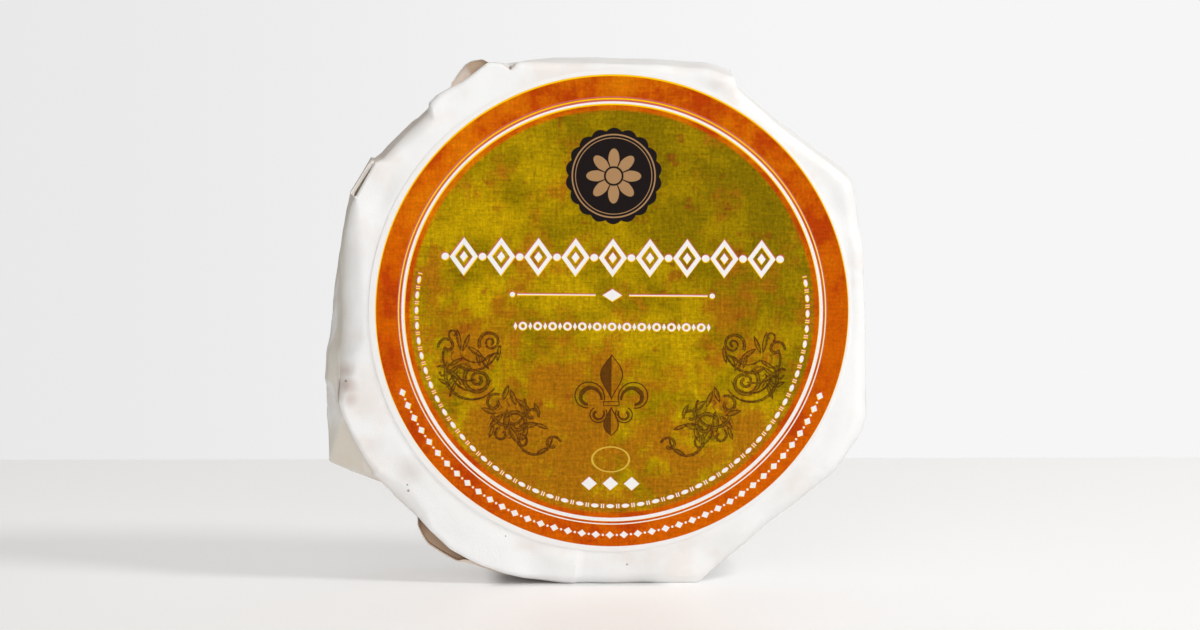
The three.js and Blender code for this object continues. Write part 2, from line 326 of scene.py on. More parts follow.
def wrapPoints(s):
    # profile from the middle of the front over rim, pocket, wall and back rim to the middle of the back,
    # carried round the axis. Its reach at each bearing is the straight line between neighbouring folds.
    fineFrom, fineTo, fineStep = s["fine"]
    fine = np.arange(fineFrom, fineTo, fineStep)
    plain = np.arange(fineTo, fineFrom + 360, s["plainStep"]) % 360
    bearing = np.sort(np.concatenate([fine, plain]))
    count = len(bearing)
    thick, backEdge, rowCount = s["thickness"], s["backEdge"], s["rows"]
    front = ringReach(s["rim"], bearing)
    waist = ringReach(s["wall"], bearing)
    edge = np.minimum(tableAt(s["rim"], bearing, 2, 360), front - labelRadius - s["labelClear"])
    opened, raised, gap, deep, paper, lipShade = pocketTables(s, bearing)
    softTurn = window(s["softTurn"]["between"], bearing)
    lipDepth = edge + mix(mix(s["lip"]["plain"], s["lip"]["soft"], softTurn), s["lip"]["pocket"], opened)
    falls = tableAt(s["falls"], bearing)

    # pleats: each layer climbs from the last pleat's edge and drops at its own
    _, _, pleatPassed, pleatSpan = neighbours(np.array(s["pleats"], float), bearing)
    pleat = s["pleatStep"] * pleatPassed / pleatSpan

    ear, left = s["ear"], s["leftLayer"]
    upper, lower, tip = ear["upper"], ear["lower"], ear["tip"]
    earFaces = [(upper, tip, lower), (upper, tip, ear["wall"]), (lower, tip, ear["under"])]
    leftEdge = tableAt(left["edge"], bearing)
    leftShare = window(left["between"], bearing)

    def onLayer(depth):
        # 1 behind the free edge of the outer layer at the left
        return leftShare * smooth(leftEdge - left["halfStep"], leftEdge + left["halfStep"], depth)

    def reachAt(depth):
        # from the front's reach out to the waist, with the outer layer and the ear on it, then in to the back
        share = depth / thick
        growth = np.clip(share / s["waist"], 0, 1)
        overLayer = smooth(leftEdge, leftEdge + left["rise"], depth)
        layered = 0.5 * np.clip(depth / leftEdge, 0, 1) + 0.5 * overLayer
        growth = mix(mix(growth, layered, leftShare), 1.0, raised)
        reach = mix(front, waist, growth) - falls * np.clip((depth - lipDepth) / s["fallDepth"], 0, 1)
        shallow = np.minimum(depth, tip[2])
        flap = np.min([planeReach(face, bearing, shallow) for face in earFaces], axis=0)
        proud = np.where(flap < ear["longest"], np.maximum(flap - reach, 0), 0)
        proud = proud * window(ear["between"], bearing)
        reach = reach + proud * np.clip(1 - (depth - tip[2]) / ear["closes"], 0, 1)
        reach = reach + left["height"] * onLayer(depth)
        return reach - s["backTuck"] * np.clip((share - s["waist"]) / (1 - s["waist"]), 0, 1) ** 2

    def earShare(depth):
        # 1 on the ear's front face, a triangle that narrows from its two feet to its tip
        narrowing = np.clip((tip[2] - depth) / (tip[2] - upper[2]), 0, 1)
        halfWidth = (upper[0] - lower[0]) / 2 * narrowing
        middle = mix(tip[0], (upper[0] + lower[0]) / 2, narrowing)
        return smooth(0, ear["fades"], halfWidth - np.abs(bearing - middle))

    rim = mix(reachAt(edge), front, opened)
    lip = reachAt(lipDepth)
    mouth = np.minimum(lip - paper, front + gap)      # inner edge of the flap's paper
    backReach = reachAt(np.full(count, thick - backEdge))
    # painted beige shade along the wall, inside the pockets and in the nick, which fades with depth
    wallShade = tableAt(s["wallPaintedShade"], bearing, period=360)
    insideShade = tableAt(s["pocketPaintedShade"], bearing)
    nickShade = s["nick"]["paintedShade"] * window(s["nick"]["between"], bearing)

    def wallShadeAt(depth):
        return np.maximum(wallShade, nickShade * (1 - smooth(*s["nick"]["fades"], depth)))

    radius, depth, turn, layer, part, paintedShade = [], [], [], [], [], []

    def addRow(kind, r, d, warmShade=0.0, pleatShare=0.0, swirl=0.0):
        part.append(np.full(count, kind))
        radius.append(r + np.zeros(count))
        depth.append(d + np.zeros(count))
        paintedShade.append(warmShade + np.zeros(count))
        layer.append(pleat * pleatShare)
        turn.append(bearing + swirl)

    for share in s["underLabel"]:
        addRow("front", labelRadius * share, 0.0)
    for share in steps(rowCount["margin"]):
        addRow("front", mix(labelRadius * s["underLabel"][-1], rim - edge, share), 0.0)
    for share in steps(rowCount["rim"]):
        sine, cosine = quarterTurn(share)
        warmShade = wallShadeAt(edge) * share ** 2 * (1 - opened)
        addRow("front", rim - edge * (1 - sine), edge * (1 - cosine), warmShade)
    # pocket rows: in along the front sheet, over the bottom and out along the flap to its lip
    path, lastRow = s["pocketPath"], rowCount["pocket"]
    for k in range(1, lastRow + 1):
        t = k / lastRow
        plainDepth = mix(edge, lipDepth, t)
        inward = np.clip(t / path["inward"], 0, 1)
        outward = np.clip((t - path["outwardFrom"]) / path["outward"], 0, 1)
        pocketDepth = np.where(t < 0.5, edge + deep * inward, mix(edge + deep, lipDepth, outward))
        pocketReach = mix(rim - path["narrows"] * inward, mouth, smooth(*path["bottom"], t))
        if k == lastRow:
            pocketReach = lip
        # painted shade inside the pocket, and on its lip
        pocketShade = insideShade if k < lastRow - 1 else lipShade
        addRow("pocket", mix(reachAt(plainDepth), pocketReach, opened), mix(plainDepth, pocketDepth, opened),
               mix(wallShadeAt(plainDepth), pocketShade, opened))
    for share in steps(rowCount["wall"]):
        d = mix(lipDepth, thick - backEdge, share)
        # painted shade on the wall, less on the outer layer, more on the ear
        warmShade = mix(mix(wallShadeAt(d), left["paintedShade"], onLayer(d)), ear["paintedShade"], earShare(d))
        addRow("wall", reachAt(d), d, warmShade, smooth(0.55, 0.95, share))
    for share in steps(rowCount["backRim"]):
        sine, cosine = quarterTurn(share)
        addRow("backRim", backReach - backEdge * (1 - cosine), thick - backEdge * (1 - sine),
               wallShade * (1 - share), 1.0)
    for share in steps(rowCount["back"]):
        addRow("back", (backReach - backEdge) * (1 - share), thick + s["gather"] * share ** 2,
               pleatShare=1 - smooth(0.75, 1, share), swirl=s["pleatSwirl"] * share)

    radius, depth, turn, layer, part, paintedShade = map(np.array, (radius, depth, turn, layer, part, paintedShade))
    softShare = window(s["softTurn"]["rows"], np.arange(len(part)))[:, None] * softTurn
    radius = mix(radius, softRows(radius, s["softTurn"]["spread"]), softShare)
    depth = mix(depth, softRows(depth, s["softTurn"]["spread"]), softShare)
    # relief: pleats stand out of the wall and the back, creases stand out of the shoulder
    onFront, onBackRim, onBack = part == "front", part == "backRim", part == "back"
    sine, cosine = quarterTurn(np.cumsum(onBackRim, axis=0) / rowCount["backRim"])
    radius = radius + layer * np.where(onBackRim, cosine, part == "wall")
    depth = depth + layer * np.where(onBackRim, sine, onBack)
    outer = smooth(*s["creaseRise"], radius - labelRadius)
    for at, height, width in s["creases"]:
        away = ((turn - at + 180) % 360 - 180) / width
        ridge = np.where(away >= 0, np.clip(1 - away, 0, 1) ** s["creaseFall"], 0)
        depth = depth - np.where(onFront, height * ridge * outer, 0)
    # crumple, waves and fold lines, out of the front, the wall or the back. The front has twice the waves and
    # no lines.
    calm = s["calm"]
    angle = np.radians(turn)
    x, y, z = radius * np.sin(angle), depth, radius * np.cos(angle)
    waves = wrinkleField(x, y, z, s["wrinkle"])
    rough = crumpleField(x, y, z, s["crumple"]) + waves
    rough = rough + np.where(onFront, waves, foldLineField(x, y, z, s["foldLines"], thick))
    rough = rough * np.where(onFront, smooth(0, calm["label"], radius - labelRadius), 1.0)
    rough = rough * np.where(part == "pocket", mix(*calm["pocketRows"], opened), 1.0)
    rough = rough * np.where(onBack, smooth(0, calm["middle"], radius), 1.0)
    radius = radius + rough * np.where(onBack, 0, np.where(onFront, calm["sideways"], 1.0))
    depth = depth + rough * np.where(onBack, 1, np.where(onFront, -1.0, 0))
    x, z = radius * np.sin(angle), radius * np.cos(angle)
    return np.stack([axisX + x, faceY + depth, np.maximum(axisZ + z, 0)], axis=-1), paintedShade


wrapGrid, wrapPaintedShade = wrapPoints(wrapSettings)
# the attribute carries each point's painted shade to the material
wrapPiece = gridObject("paper_wrap", wrapGrid, wrapSettings["sharpAngle"], {"paintedShade": wrapPaintedShade})
print("paper wrap:", len(wrapPiece.data.polygons), "faces")


# the label, in mm
labelSettings = {
    "columns": 360,
    "rings": 60,
    "edgeRows": 4,
    "sharpAngle": 60,
    "thickness": 0.22,
    "edgeRound": 0.08,
    "swell": 0.12,          # how far the paper bulges between the places where it sticks
    "flatEdge": 9,          # width of the edge towards which that dies away
    # upright ripples: x and z of the middle, lean, half width, half length, height in swells
    "ripples": [(29, -3, 0.04, 2.4, 13, 1.4), (34, -7, -0.03, 2.0, 9, 0.98), (-30, 2, -0.05, 3.0, 15, 0.7)],
}


def labelPoints(s):
    # disc from the middle of the printed side over a small rounded edge to the middle of the glued side.
    # Long low swells run across it, as paper gets over a soft surface, and die away at the edge.
    bearing = np.radians(np.arange(s["columns"]) * 360 / s["columns"])
    edge = s["edgeRound"]
    sine, cosine = quarterTurn(steps(s["edgeRows"]))
    printedReach = (labelRadius - edge) * np.sqrt(np.linspace(0, 1, s["rings"]))
    gluedReach = labelRadius * np.array([1.0, 0.5, 0.0])
    reach = np.concatenate([printedReach, labelRadius - edge * (1 - sine), gluedReach])[:, None]
    printedLift = np.full(s["rings"], s["thickness"])
    lift = np.concatenate([printedLift, s["thickness"] - edge * (1 - cosine), np.zeros(3)])[:, None]
    x, z = reach * np.sin(bearing), reach * np.cos(bearing)
    swell = 0.5 + 0.5 * np.sin(0.21 * x + 0.9 * np.sin(0.05 * z + 0.6)) * np.sin(0.045 * z + 1.1)
    for atX, atZ, lean, halfWidth, halfLength, height in s["ripples"]:
        across, along = (x - atX - lean * z) / halfWidth, (z - atZ) / halfLength
        swell = swell + height * np.exp(-across ** 2 - along ** 2)
    up = s["swell"] * swell * smooth(labelRadius, labelRadius - s["flatEdge"], reach)
    printedSide = np.arange(len(reach))[:, None] < s["rings"]
    y = -(lift + np.where(printedSide, up, 0))
    return np.stack([axisX + x, faceY + y, axisZ + z], axis=-1)


labelPiece = gridObject("round_label", labelPoints(labelSettings), labelSettings["sharpAngle"])
print("label:", len(labelPiece.data.polygons), "faces")


# shader helpers
class Wire:
    # an output of a shader node, which takes plain arithmetic: each step adds a Math node to its tree
    def __init__(self, socket):
        self.socket = socket
        self.tree = socket.id_data

    def __add__(self, other):
        return calc("ADD", self, other)

    def __sub__(self, other):
        return calc("SUBTRACT", self, other)

    def __rsub__(self, other):
        return calc("SUBTRACT", other, self)

    def __mul__(self, other):
        return calc("MULTIPLY", self, other)

    def __truediv__(self, other):
        return calc("DIVIDE", self, other)

    def __pow__(self, other):
        return calc("POWER", self, other)

    def __abs__(self):
        return calc("ABSOLUTE", self)


def fill(socket, value):
    # links a socket, or sets a plain value
    if isinstance(value, Wire):
        value.tree.links.new(value.socket, socket)
    else:
        socket.default_value = value


def newNode(kind, *values, tree=None, **settings):
    # node with its first inputs filled, in the tree of the first wire among them unless a tree is given
    if tree is None:
        tree = next(value.tree for value in values if isinstance(value, Wire))
    node = tree.nodes.new("ShaderNode" + kind)
    for name, setting in settings.items():
        setattr(node, name, setting)
    for socket, value in zip(node.inputs, values):
        fill(socket, value)
    return node


def calc(operation, *values):
    return Wire(newNode("Math", *values, operation=operation).outputs[0])


def vectorCalc(operation, *values):
    node = newNode("VectorMath", *values, operation=operation)
    return Wire(node.outputs["Value" if operation in ("LENGTH", "DISTANCE") else "Vector"])


def scaled(vector, factor):
    node = newNode("VectorMath", vector, operation="SCALE")
    fill(node.inputs["Scale"], factor)
    return Wire(node.outputs["Vector"])


def turned(vector, angle):
    # turned about Z, in radians
    node = newNode("VectorRotate", vector, rotation_type="Z_AXIS")
    fill(node.inputs["Angle"], angle)
    return Wire(node.outputs[0])


def partsOf(vector):
    return [Wire(socket) for socket in newNode("SeparateXYZ", vector).outputs]


def joined(x, y):
    return Wire(newNode("CombineXYZ", x, y).outputs[0])


def remap(value, low, high, toLow=0.0, toHigh=1.0, soft=True):
    # no clamp, as a smooth step stops at its ends by itself
    kind = "SMOOTHSTEP" if soft else "LINEAR"
    node = newNode("MapRange", value, low, high, toLow, toHigh, interpolation_type=kind, clamp=False)
    return Wire(node.outputs[0])


def largest(*values):
    total = values[0]
    for value in values[1:]:
        total = calc("MAXIMUM", total, value)
    return total


def mixColour(share, a, b):
    node = newNode("Mix", share, data_type="RGBA")
    for name, value in (("A_Color", a), ("B_Color", b)):
        fill(next(socket for socket in node.inputs if socket.identifier == name), value)
    return Wire(next(socket for socket in node.outputs if socket.identifier == "Result_Color"))


def noise(place, scale, detail=2.0, roughness=0.5):
    node = newNode("TexNoise", place)
    for name, value in (("Scale", scale), ("Detail", detail), ("Roughness", roughness)):
        node.inputs[name].default_value = value
    return Wire(node.outputs["Fac"])


def colour(red, green, blue):
    # sRGB bytes to the linear colour that a socket takes
    part = np.array([red, green, blue]) / 255
    return tuple(np.where(part < 0.04045, part / 12.92, ((part + 0.055) / 1.055) ** 2.4)) + (1.0,)


def newGroup(name, inputs, outputs):
    # inputs are names with plain values, or None for a vector; outputs are names of values
    tree = bpy.data.node_groups.new(name, "ShaderNodeTree")
    for label, value in inputs.items():
        kind = "NodeSocketVector" if value is None else "NodeSocketFloat"
        socket = tree.interface.new_socket(label, in_out="INPUT", socket_type=kind)
        if value is not None:
            socket.default_value = value
    for label in outputs:
        tree.interface.new_socket(label, in_out="OUTPUT", socket_type="NodeSocketFloat")
    given = tree.nodes.new("NodeGroupInput").outputs
    return tree, {label: Wire(given[label]) for label in inputs}, tree.nodes.new("NodeGroupOutput").inputs


def useGroup(group, point, **values):
    # a group placed in the tree of the point that goes into its first input
    node = newNode("Group", tree=point.tree, node_tree=group)
    fill(node.inputs[0], point)
    for label, value in values.items():
        fill(node.inputs[label], value)
    return {socket.name: Wire(socket) for socket in node.outputs}


def newMaterial(name):
    material = bpy.data.materials.new(name)
    material.use_nodes = True
    tree = material.node_tree
    tree.nodes.clear()
    shader = newNode("BsdfPrincipled", tree=tree)
    tree.links.new(shader.outputs[0], newNode("OutputMaterial", tree=tree).inputs["Surface"])
    return material, tree, shader.inputs


def objectPlace(tree):
    return Wire(newNode("TexCoord", tree=tree).outputs["Object"])


def bumpFrom(height, strength, distance):
    node = newNode("Bump", tree=height.tree)
    node.inputs["Strength"].default_value = strength
    node.inputs["Distance"].default_value = distance
    fill(node.inputs["Height"], height)
    return Wire(node.outputs[0])


def paperGrain():
    # fine fibres and soft cockling of a sheet, shared by the wrap and the label
    inputs = {"Place": None, "Fibre": 1.0, "Cockle": 1.0}
    tree, given, result = newGroup("paperGrain", inputs, ["Height", "Tone"])
    fibres = (noise(given["Place"], 2600.0, 3.0, 0.6) - 0.5) * given["Fibre"]
    cockles = (noise(given["Place"], 160.0, 2.0, 0.5) - 0.5) * given["Cockle"]
    fill(result["Height"], fibres + cockles)
    fill(result["Tone"], noise(given["Place"], 45.0, 4.0, 0.55))
    return tree


grainGroup = paperGrain()

# white waxed wrapping paper
paperLook = {
    "white": colour(242, 243, 243),
    "grey": colour(237, 237, 236),      # where the sheet lies on the damp rind
    "blush": colour(235, 227, 222),     # faint smudges
    "warmShade": colour(206, 180, 154),      # painted beige shade in folds, pockets and along the side
    "earWarmShade": colour(206, 193, 164),   # the same painted shade at the left, yellower
    "earFrom": (-50, -56),              # x between which the one turns into the other
    "speckAndShadowTone": colour(120, 105, 95),
    "paintedShadeTone": colour(192, 172, 162),
    "frontDepth": -6,                   # y where the marks on the front sheet are at their strongest
    "roughness": 0.5,
    "bump": 0.25,
    # x and height in mm of small dark marks on the front sheet, and their size; the last is a painted shadow
    # spot in the nick at the top, the others are marks on the paper itself
    "specksAndShadowSpot": [(-43.8, 21.7, 0.28), (-43.6, 20.4, 0.40), (-57.0, 44.2, 0.35), (3.7, 4.2, 0.30),
               (-22.6, 10.5, 0.22), (-21.4, 111.6, 0.45)],
    # x and height in mm of soft patches of painted shade on the front sheet, their size and how strong they
    # are
    "paintedShadePatches": [(-56.6, 43.2, 3.0, 0.75), (-56.9, 46.4, 2.8, 0.55), (-56.2, 40.4, 2.6, 0.55),
               (-43.3, 24.6, 4.6, 0.28), (-50.5, 31.0, 3.0, 0.15)],
}


def paperMaterial(look):
    material, tree, shader = newMaterial("waxedPaper")
    place = objectPlace(tree)
    grain = useGroup(grainGroup, place, Fibre=0.35, Cockle=1.0)
    base = mixColour(remap(grain["Tone"], 0.42, 0.7), look["white"], look["grey"])
    smudge = remap(noise(place, 85.0, 3.0, 0.6), 0.5, 0.72, 0.0, 0.7)
    base = mixColour(smudge, base, look["blush"])
    x, y, _ = partsOf(place)
    # painted beige shade from the mesh attribute, yellower at the left
    earFrom, earFull = look["earFrom"]
    warmShadeTone = mixColour(remap(x, earFrom * mm, earFull * mm), look["warmShade"], look["earWarmShade"])
    paintedShade = Wire(newNode("Attribute", tree=tree, attribute_name="paintedShade").outputs["Fac"])
    base = mixColour(paintedShade, base, warmShadeTone)
    onFront = remap(y, 0.0, look["frontDepth"] * mm)
    flat = vectorCalc("MULTIPLY", place, (1.0, 0.0, 1.0))
    # soft patches of painted shade on the front sheet
    paintedShadeShare = 0.0
    for atX, atZ, size, strength in look["paintedShadePatches"]:
        near = vectorCalc("DISTANCE", flat, (atX * mm, 0.0, atZ * mm))
        paintedShadeShare = largest(paintedShadeShare, remap(near, size * mm, 0.0, 0.0, strength))
    base = mixColour(paintedShadeShare * onFront, base, look["paintedShadeTone"])
    # dark marks on the paper, and one painted shadow spot in the nick
    dirtAndShadowSpot = 0.0
    for atX, atZ, size in look["specksAndShadowSpot"]:
        near = vectorCalc("DISTANCE", flat, (atX * mm, 0.0, atZ * mm))
        dirtAndShadowSpot = largest(dirtAndShadowSpot, remap(near, size * mm, 0.35 * size * mm, 0.0, 0.8))
    fill(shader["Base Color"], mixColour(dirtAndShadowSpot * onFront, base, look["speckAndShadowTone"]))
    shader["Roughness"].default_value = look["roughness"]
    fill(shader["Normal"], bumpFrom(grain["Height"], look["bump"], 0.0006))
    return material


wrapPiece.data.materials.append(paperMaterial(paperLook))
print("paper material done")


# shapes of the print. Distances are in mm, less than 0 inside a shape
def inside(distance, soft=0.07):
    return remap(distance, soft, -soft)


def wave(value, pitch):
    # place within a repeat, from -pitch/2 to pitch/2
    return calc("FLOORED_MODULO", value + pitch / 2, pitch) - pitch / 2


def lozenge(x, y, half):
    # less than 0 inside a lozenge with these half sizes, -1 in its middle
    return abs(x) / half[0] + abs(y) / half[1] - 1.0


def boxDistance(x, y, half):
    return largest(abs(x) - half[0], abs(y) - half[1])


def length2(x, y):
    return calc("SQRT", x * x + y * y)


def shapeGroup(name, inputs):
    # group for one engraved shape: how much of it is at the point, distance to its outline, place across it
    return newGroup(name, {"Point": None, **inputs}, ["Fill", "Edge", "Side"])


def fillShape(result, share, edge, side):
    for name, value in (("Fill", share), ("Edge", edge), ("Side", side)):
        fill(result[name], value)


def spiralStroke():
    # distance to a circle arc whose radius runs evenly from one value to another along the sweep,
    # less a half width that tapers the same way. Turn is 1 for anticlockwise, -1 for clockwise.
    tree, given, result = shapeGroup("spiralStroke", {
        "Centre": None, "Start": 0.0, "Sweep": 90.0, "Turn": 1.0, "Radius": 3.0, "RadiusEnd": 3.0,
        "Width": 0.4, "WidthEnd": 0.2})
    offset = vectorCalc("SUBTRACT", given["Point"], given["Centre"])
    x, y, _ = partsOf(offset)
    passed = (calc("DEGREES", calc("ARCTAN2", y, x)) - given["Start"]) * given["Turn"]
    share = calc("FLOORED_MODULO", passed, 360.0) / given["Sweep"]
    radius = remap(share, 0.0, 1.0, given["Radius"], given["RadiusEnd"], soft=False)
    width = remap(share, 0.0, 1.0, given["Width"], given["WidthEnd"], soft=False)
    across = vectorCalc("LENGTH", offset) - radius
    edge = abs(across) - width
    fillShape(result, inside(edge) * remap(share, 1.03, 0.99), edge, across)
    return tree


def leafShape():
    # overlap of two equal circles, pointed at both ends, turned to an angle
    tree, given, result = shapeGroup("leafShape", {"Centre": None, "Angle": 0.0, "Length": 2.0, "Width": 0.6})
    offset = vectorCalc("SUBTRACT", given["Point"], given["Centre"])
    x, y, _ = partsOf(turned(offset, calc("RADIANS", given["Angle"]) * -1.0))
    radius = (given["Length"] ** 2.0 + given["Width"] ** 2.0) / (given["Width"] * 2.0)
    edge = length2(x, abs(y) + (radius - given["Width"])) - radius
    fillShape(result, inside(edge), edge, y)
    return tree


def spearShape():
    # upright petal whose half width is Width * sin(pi * t ^ Lean) ^ 1.3, with t from 0 at its foot to 1 at
    # its tip
    tree, given, result = shapeGroup("spearShape", {"Foot": 0.0, "Length": 5.0, "Width": 1.0, "Lean": 1.0})
    x, y, _ = partsOf(given["Point"])
    along = calc("MINIMUM", largest((y - given["Foot"]) / given["Length"], 0.0), 1.0)
    swell = calc("SINE", along ** given["Lean"] * np.pi)
    width = largest(swell, 0.0) ** 1.3 * given["Width"]
    edge = abs(x) - width
    fillShape(result, inside(edge) * remap(width, 0.0, 0.15), edge, x)
    return tree


strokeGroup, leafGroup, spearGroup = spiralStroke(), leafShape(), spearShape()

# the label's print, in mm from the middle of the printed round
printLook = {
    "middle": (0.48, 0.0),          # from the middle of the label
    "turn": -0.6,                   # degrees
    "yellowShift": (0.03, -0.20),   # the yellow plate printed a little high
    "yellowShrink": 0.9965,         # and a little large, so it is read at a smaller place
    "round": 50.85,
    "ring": (45.02, 0.40),          # radius and half width of the white ring, and of the hairline outside it
    "hairline": (46.0, 0.13),
    "field": 43.6,
    "paper": colour(240, 238, 237),
    "yellowOnly": colour(252, 202, 4),
    "pinkOnly": colour(204, 98, 92),
    "orange": colour(205, 92, 0),
    "orangeDeep": colour(186, 64, 4),
    "orangeLight": colour(220, 120, 2),
    "olive": colour(136, 112, 0),
    "gold": colour(182, 148, 2),
    "ochre": colour(163, 102, 10),
    "rust": colour(142, 62, 14),
    "brown": colour(72, 38, 12),
    "black": colour(30, 24, 24),
    "tan": colour(170, 132, 92),
    "ovalLine": colour(222, 188, 70),
    "threadContrast": (0.68, 1.32),
    "roughness": 0.42,
    "specular": 0.02,
    # bead and reel round the lower part of the field and lozenges in the band: radius, degrees of a repeat,
    # degrees they run to each side of the lowest point, sizes of the marks
    "beadArc": {"radius": 42.1, "pitch": 4.5, "runs": 101.25, "stretch": 1.9, "bead": 0.44,
                "reelAt": 1.42, "reel": (0.13, 0.46)},
    "bandArc": {"radius": 48.4, "pitch": 3.6, "runs": 69.48, "lozenge": (0.95, 0.8), "dot": 0.26},
    # rows across the field: height above the middle, half width of the row, width of a repeat, sizes
    "lozengeRow": {"height": 11.7, "half": 36.9, "pitch": 8.0, "lozenge": (3.1, 4.2), "stud": 0.85},
    "rule": {"height": 3.6, "from": 3.6, "to": 20.5, "half": 0.2, "lozenge": (2.2, 1.4),
             "endAt": 21.5, "end": 0.6},
    "beadRow": {"height": -3.2, "half": 21.3, "pitch": 3.2, "bead": 0.95, "eye": 0.42,
                "lozenge": (0.45, 0.9)},
    "threeLozenges": {"height": -37.2, "half": 6.9, "pitch": 4.6, "lozenge": (1.7, 1.5)},
    "oval": (-31.9, 4.0, 2.7),      # height above the middle, half width, half height
    "seal": {"height": 29.4, "radius": 10.4, "scallops": 18, "scallop": 0.7, "petals": 8, "petal": (2.9, 3.0),
             "eye": 2.0, "rings": [(8.9, 0.2, 0.1), (8.2, 0.12, 0.05)]},
}
# one half of the scrolls, mirrored: middle, start, sweep, turn, radius and half width from start to end
scrollStrokes = [
    # main volute with its double stem
    (28.7, -14.9, 60, 350, -1, 3.3, 1.5, 0.5, 0.34), (28.8, -14.8, 70, 330, -1, 1.5, 0.5, 0.3, 0.4),
    (30.6, -13.2, 212, 170, 1, 6.4, 5.0, 0.16, 0.5), (30.4, -12.6, 205, 150, 1, 5.0, 4.2, 0.14, 0.3),
    # upper volute and the curve that carries it
    (26.2, -6.7, 330, 350, 1, 2.5, 1.1, 0.4, 0.26), (26.2, -6.7, 330, 300, 1, 1.0, 0.4, 0.22, 0.34),
    (30.6, -7.6, 300, 120, -1, 4.8, 6.2, 0.36, 0.2), (29.6, -7.0, 310, 100, -1, 3.9, 4.4, 0.2, 0.14),
    # outer volutes
    (35.5, -7.6, 350, 340, 1, 1.9, 0.6, 0.3, 0.4), (31.4, -9.4, 20, 130, -1, 4.8, 5.8, 0.3, 0.18),
    (36.5, -13.2, 40, 320, 1, 1.5, 0.5, 0.24, 0.32), (34.2, -5.0, 300, 310, 1, 1.1, 0.4, 0.22, 0.28),
    # fan of lines between them
    (37.0, -17.6, 100, 60, 1, 4.2, 4.8, 0.14, 0.2), (38.2, -18.4, 105, 55, 1, 6.4, 6.8, 0.14, 0.2),
    (24.6, -12.2, 20, 75, 1, 3.4, 3.0, 0.14, 0.26), (24.0, -11.0, 350, 70, 1, 2.6, 2.2, 0.14, 0.24),
    # stem to the lower cluster
    (25.2, -19.8, 120, 340, -1, 2.0, 0.6, 0.32, 0.4), (22.6, -21.0, 150, 180, 1, 4.4, 3.4, 0.26, 0.44),
    (20.4, -24.2, 30, 340, 1, 2.6, 0.9, 0.5, 0.44), (17.2, -22.4, 200, 330, -1, 1.6, 0.5, 0.3, 0.38),
    (23.6, -26.6, 60, 310, -1, 1.6, 0.5, 0.26, 0.36), (19.4, -28.2, 100, 280, 1, 1.5, 0.5, 0.26, 0.36),
    # tail
    (16.6, -27.4, 20, 200, -1, 3.2, 3.9, 0.4, 0.22), (12.6, -28.6, 170, 320, -1, 1.8, 0.5, 0.28, 0.42),
]
# leaves of the scrolls: middle, angle, half length, half width
scrollLeaves = [
    (33.0, -6.2, 80, 2.5, 0.55), (31.4, -6.8, 112, 2.2, 0.5), (29.4, -8.8, 35, 2.2, 0.6),
    (24.4, -9.0, 100, 2.0, 0.5), (33.6, -11.0, 150, 2.0, 0.5), (34.2, -12.8, 140, 2.2, 0.5),
    (34.4, -14.8, 125, 2.4, 0.5), (34.2, -16.8, 112, 2.2, 0.45), (36.2, -15.4, 30, 1.5, 0.45),
    (27.4, -11.0, 60, 1.9, 0.55), (28.8, -10.4, 75, 1.7, 0.45), (22.8, -17.6, 110, 1.9, 0.6),
    (21.2, -18.6, 70, 2.0, 0.6), (19.0, -20.2, 40, 2.1, 0.65), (17.8, -24.6, 170, 2.3, 0.7),
    (22.6, -23.6, 95, 2.4, 0.75), (24.8, -23.6, 135, 2.2, 0.7), (21.0, -26.8, 60, 2.2, 0.7),
    (18.6, -26.4, 110, 1.9, 0.6), (15.0, -24.8, 20, 1.7, 0.5), (14.8, -30.2, 150, 1.7, 0.5),
    (26.4, -21.6, 20, 1.9, 0.6), (16.0, -21.0, 60, 1.5, 0.45), (25.8, -26.0, 110, 1.7, 0.5),
]
# tufts of fine lines round the scrolls: middle and radius
scrollTufts = [(34.0, -11.4, 4.0), (21.6, -23.2, 6.4)]
# lily: side strokes as above, mirrored; two spears on its middle line: foot, length, half width and lean;
# its band: height, half width and half height
lilyStrokes = [
    (5.0, -18.4, 192, 132, -1, 3.2, 2.2, 0.5, 1.1), (5.0, -18.4, 60, 150, -1, 2.2, 1.9, 1.1, 0.55),
    (2.9, -22.1, 150, 270, 1, 1.7, 1.0, 0.45, 0.7),
]
lilySpears = [(-19.4, 10.5, 2.5, 1.2), (-26.8, 6.6, 1.7, 0.7)]
lilyBand = (-19.8, 1.8, 0.55)


